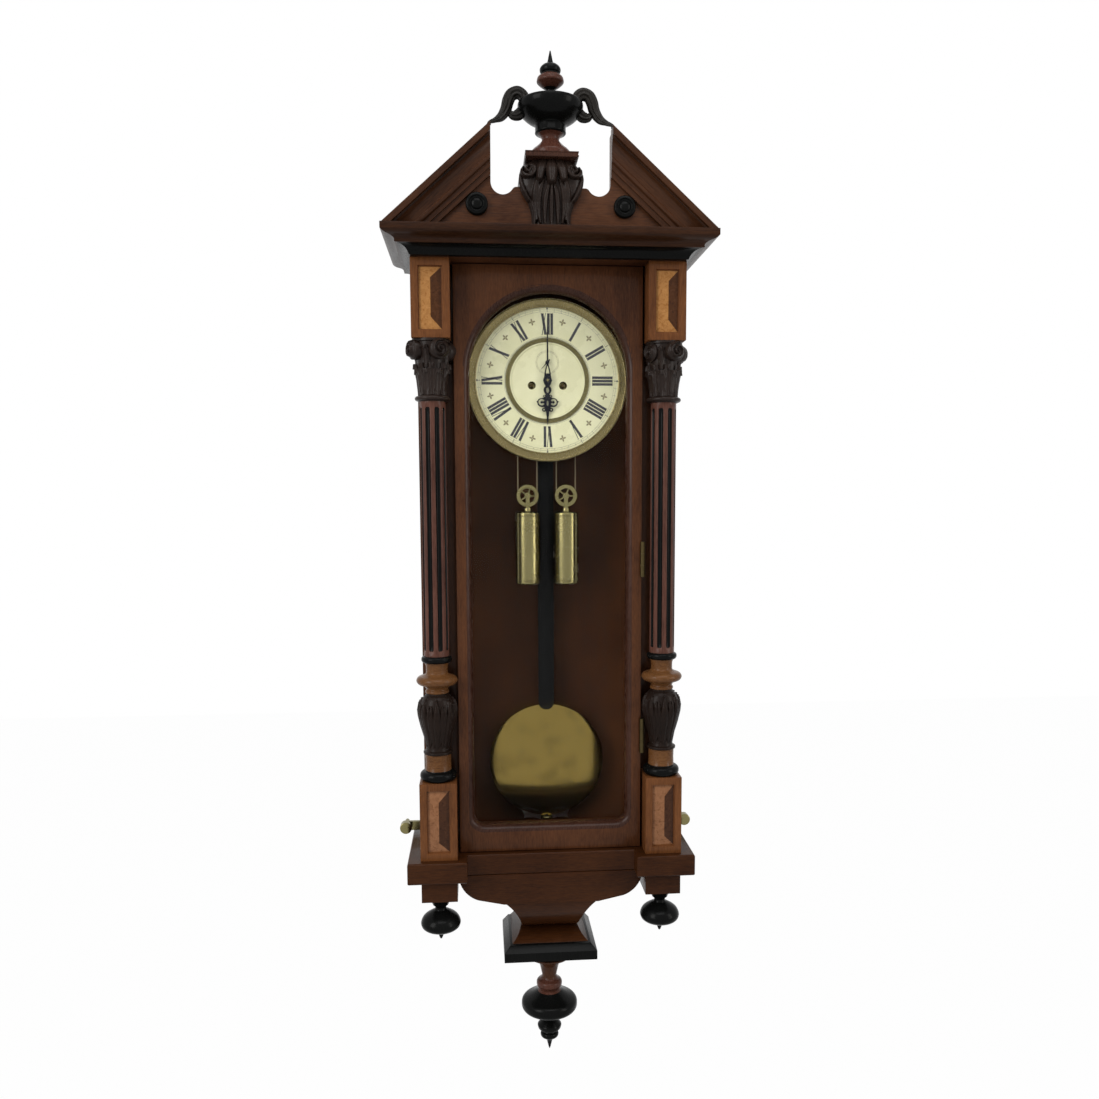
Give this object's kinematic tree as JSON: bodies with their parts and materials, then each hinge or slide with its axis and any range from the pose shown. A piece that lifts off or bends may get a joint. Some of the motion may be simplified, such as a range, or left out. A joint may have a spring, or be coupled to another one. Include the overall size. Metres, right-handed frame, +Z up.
{
  "type": "vienna regulator wall clock",
  "caption": "Weight-driven wall regulator in a glazed walnut case with fluted columns, broken pediment, urn, enamel dial and long pendulum.",
  "frame": {"origin": "centre of the hanger hole, on the wall plane", "axes": "+Z up, -Y forward away from the wall, +X to the viewer's right"},
  "size_m": [0.404, 0.188, 1.2785],
  "materials": {
    "walnut": "french polished",
    "burr_walnut": "polished burr veneer",
    "carved_wood": "stained carving, soft sheen",
    "ebonised": "ebonised, polished",
    "turned_walnut": "polished",
    "back_wood": "stained, satin",
    "glass": "clear",
    "brass": "polished lacquered",
    "steel": "polished",
    "blued_steel": "blued",
    "cast_iron": "black",
    "enamel": "fired enamel",
    "gut": "twisted"
  },
  "bodies": {
    "case": {"backboard": "back_wood", "hanger_plate": "steel", "sides": "walnut", "side_glasses": "glass", "face_frame": "walnut", "top_board": "walnut", "frieze": "walnut", "cornice": "walnut", "tympanum": "walnut", "rakes": "walnut", "roundels": "turned_walnut", "corbel": "carved_wood", "urn": "ebonised", "scrolls": "carved_wood", "upper_blocks": "burr_walnut", "lower_blocks": "burr_walnut", "capitals": "carved_wood", "shafts": "turned_walnut", "column_bases": "turned_walnut", "ledge": "walnut", "under_blocks": "walnut", "drop_finials": "ebonised", "apron": "walnut", "pedestal": "walnut", "plinth_moulding": "walnut", "bottom_finial": "turned_walnut", "beat_plate": "brass", "steady_brackets": "brass", "case_hinges": "brass", "movement_bracket": "cast_iron", "movement_frame": "brass", "dial": "enamel", "bezel": "brass", "line_left": "gut", "line_right": "gut", "gong": "steel"},
    "door": {"door_frame": "walnut", "door_glass": "glass", "door_hinges": "brass"},
    "going_drum": {"going_drum": "brass"},
    "strike_drum": {"strike_drum": "brass"},
    "great_wheel": {"great_wheel": "brass"},
    "centre_wheel": {"centre_wheel": "brass"},
    "third_wheel": {"third_wheel": "brass"},
    "escape_wheel": {"escape_wheel": "brass", "seconds_hand": "blued_steel"},
    "minute_hand": {"minute_hand": "blued_steel"},
    "hour_hand": {"hour_hand": "blued_steel"},
    "minute_wheel": {"minute_wheel": "brass"},
    "anchor": {"anchor": "steel"},
    "pendulum": {"pendulum_rod": "ebonised"},
    "bob": {"pendulum_bob": "brass"},
    "rating_nut": {"rating_nut": "brass"},
    "weight_left": {"weight_left": "brass"},
    "weight_right": {"weight_right": "brass"},
    "pulley_left": {"pulley_left": "brass"},
    "pulley_right": {"pulley_right": "brass"},
    "hammer": {"hammer": "steel"},
    "steady_screw_left": {"steady_screw_left": "brass"},
    "steady_screw_right": {"steady_screw_right": "brass"}
  },
  "joints": [
    {"name": "door_hinge", "type": "hinge", "parent": "case", "child": "door", "pos_m": [0.1192, -0.1136, -0.45], "axis": [0, 0, 1], "range_deg": [0, 90]},
    {"name": "weight_left_fall", "type": "slide", "parent": "case", "child": "weight_left", "axis": [0, 0, 1], "range_m": [-0.3, 0.045], "deforming": ["line_left"]},
    {"name": "weight_right_fall", "type": "slide", "parent": "case", "child": "weight_right", "axis": [0, 0, 1], "range_m": [-0.3, 0.045], "deforming": ["line_right"]},
    {"name": "strike_drum_turn", "type": "hinge", "parent": "case", "child": "strike_drum", "pos_m": [-0.02, -0.06, -0.1535], "axis": [0, -1, 0], "range_deg": [-400, 2200]},
    {"name": "going_drum_turn", "type": "hinge", "parent": "case", "child": "going_drum", "pos_m": [0.02, -0.06, -0.1535], "axis": [0, -1, 0], "range_deg": [-2200, 400]},
    {"name": "pulley_left_turn", "type": "hinge", "parent": "weight_left", "child": "pulley_left", "pos_m": [-0.0252, -0.062, -0.2935], "axis": [0, -1, 0], "range_deg": [-1500, 1500]},
    {"name": "pulley_right_turn", "type": "hinge", "parent": "weight_right", "child": "pulley_right", "pos_m": [0.0252, -0.062, -0.2935], "axis": [0, -1, 0], "range_deg": [-1500, 1500]},
    {"name": "great_wheel_turn", "type": "hinge", "parent": "case", "child": "great_wheel", "pos_m": [0.02, -0.05, -0.1535], "axis": [0, -1, 0], "continuous": true},
    {"name": "centre_turn", "type": "hinge", "parent": "case", "child": "centre_wheel", "pos_m": [0, -0.05, -0.1475], "axis": [0, -1, 0], "continuous": true},
    {"name": "third_turn", "type": "hinge", "parent": "case", "child": "third_wheel", "pos_m": [0.016, -0.05, -0.13352], "axis": [0, -1, 0], "continuous": true},
    {"name": "escape_turn", "type": "hinge", "parent": "case", "child": "escape_wheel", "pos_m": [0, -0.06, -0.1245], "axis": [0, -1, 0], "continuous": true},
    {"name": "minute_hand_turn", "type": "hinge", "parent": "case", "child": "minute_hand", "pos_m": [0, -0.085, -0.1475], "axis": [0, -1, 0], "continuous": true},
    {"name": "hour_hand_turn", "type": "hinge", "parent": "case", "child": "hour_hand", "pos_m": [0, -0.085, -0.1475], "axis": [0, -1, 0], "continuous": true},
    {"name": "minute_wheel_turn", "type": "hinge", "parent": "case", "child": "minute_wheel", "pos_m": [0, -0.076, -0.1615], "axis": [0, -1, 0], "continuous": true},
    {"name": "pendulum_swing", "type": "hinge", "parent": "case", "child": "pendulum", "pos_m": [0, -0.033, -0.0895], "axis": [0, -1, 0], "range_deg": [-2, 2]},
    {"name": "anchor_rock", "type": "hinge", "parent": "case", "child": "anchor", "pos_m": [0, -0.06, -0.0895], "axis": [0, -1, 0], "range_deg": [-2.5, 2.5]},
    {"name": "rating_nut_turn", "type": "hinge", "parent": "bob", "child": "rating_nut", "pos_m": [0, -0.033, -0.737], "axis": [0, 0, 1], "range_deg": [-720, 720]},
    {"name": "bob_rise", "type": "slide", "parent": "pendulum", "child": "bob", "axis": [0, 0, 1], "range_m": [-0.00159, 0.00159]},
    {"name": "hammer_strike", "type": "hinge", "parent": "case", "child": "hammer", "pos_m": [-0.042, -0.05, -0.1375], "axis": [0, -1, 0], "range_deg": [-12, 0]},
    {"name": "steady_left_screw", "type": "slide", "parent": "case", "child": "steady_screw_left", "axis": [0, -1, 0], "range_m": [0, 0.007]},
    {"name": "steady_right_screw", "type": "slide", "parent": "case", "child": "steady_screw_right", "axis": [0, -1, 0], "range_m": [0, 0.007]}
  ],
  "couplings": [
    {"joint": "strike_drum_turn", "follows": "weight_left_fall", "rad_per_m": -112.99},
    {"joint": "going_drum_turn", "follows": "weight_right_fall", "rad_per_m": 112.99},
    {"joint": "pulley_left_turn", "follows": "weight_left_fall", "rad_per_m": -80},
    {"joint": "pulley_right_turn", "follows": "weight_right_fall", "rad_per_m": 80},
    {"joint": "great_wheel_turn", "follows": "centre_turn", "ratio": -0.14286},
    {"joint": "third_turn", "follows": "centre_turn", "ratio": -7.5},
    {"joint": "escape_turn", "follows": "centre_turn", "ratio": 60},
    {"joint": "minute_wheel_turn", "follows": "minute_hand_turn", "ratio": -0.33333},
    {"joint": "hour_hand_turn", "follows": "minute_hand_turn", "ratio": 0.083333},
    {"joint": "anchor_rock", "follows": "pendulum_swing", "ratio": 1},
    {"joint": "rating_nut_turn", "follows": "bob_rise", "rad_per_m": 7874}
  ]
}
